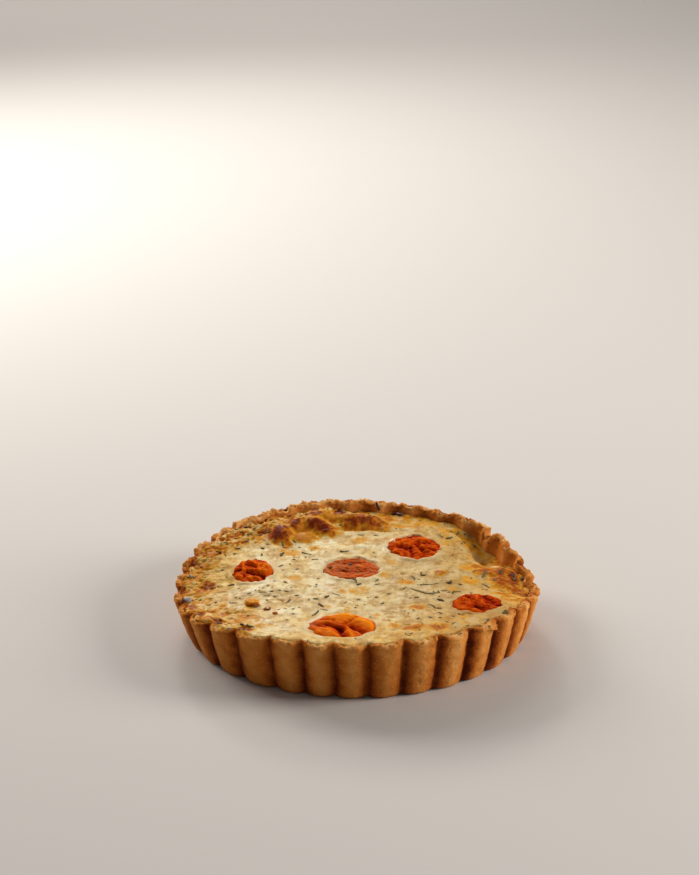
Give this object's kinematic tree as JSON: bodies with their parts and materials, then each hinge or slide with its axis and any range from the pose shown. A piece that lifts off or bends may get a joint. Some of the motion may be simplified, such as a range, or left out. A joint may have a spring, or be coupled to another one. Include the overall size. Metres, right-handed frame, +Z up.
{
  "type": "tartlet",
  "caption": "Round savoury tartlet with a fluted shortcrust case, a baked herb custard and halved roast tomatoes.",
  "frame": {"origin": "middle of the flat underside of the case", "axes": "+Z up out of the filling, -Y towards the front and +X to its right-hand side"},
  "size_m": [0.1192, 0.1192, 0.0224],
  "materials": {
    "shortcrust": "matt golden-brown pastry with a fine crumb, paler on its crests",
    "baked_custard": "satin cream-yellow custard with browned patches and dried herbs",
    "roast_tomato": "glossy, wrinkled orange-red tomato"
  },
  "bodies": {
    "root": {"crust": "shortcrust", "custard": "baked_custard", "tomato_left": "roast_tomato", "tomato_middle": "roast_tomato", "tomato_back": "roast_tomato", "tomato_right": "roast_tomato", "tomato_front": "roast_tomato"}
  },
  "joints": []
}
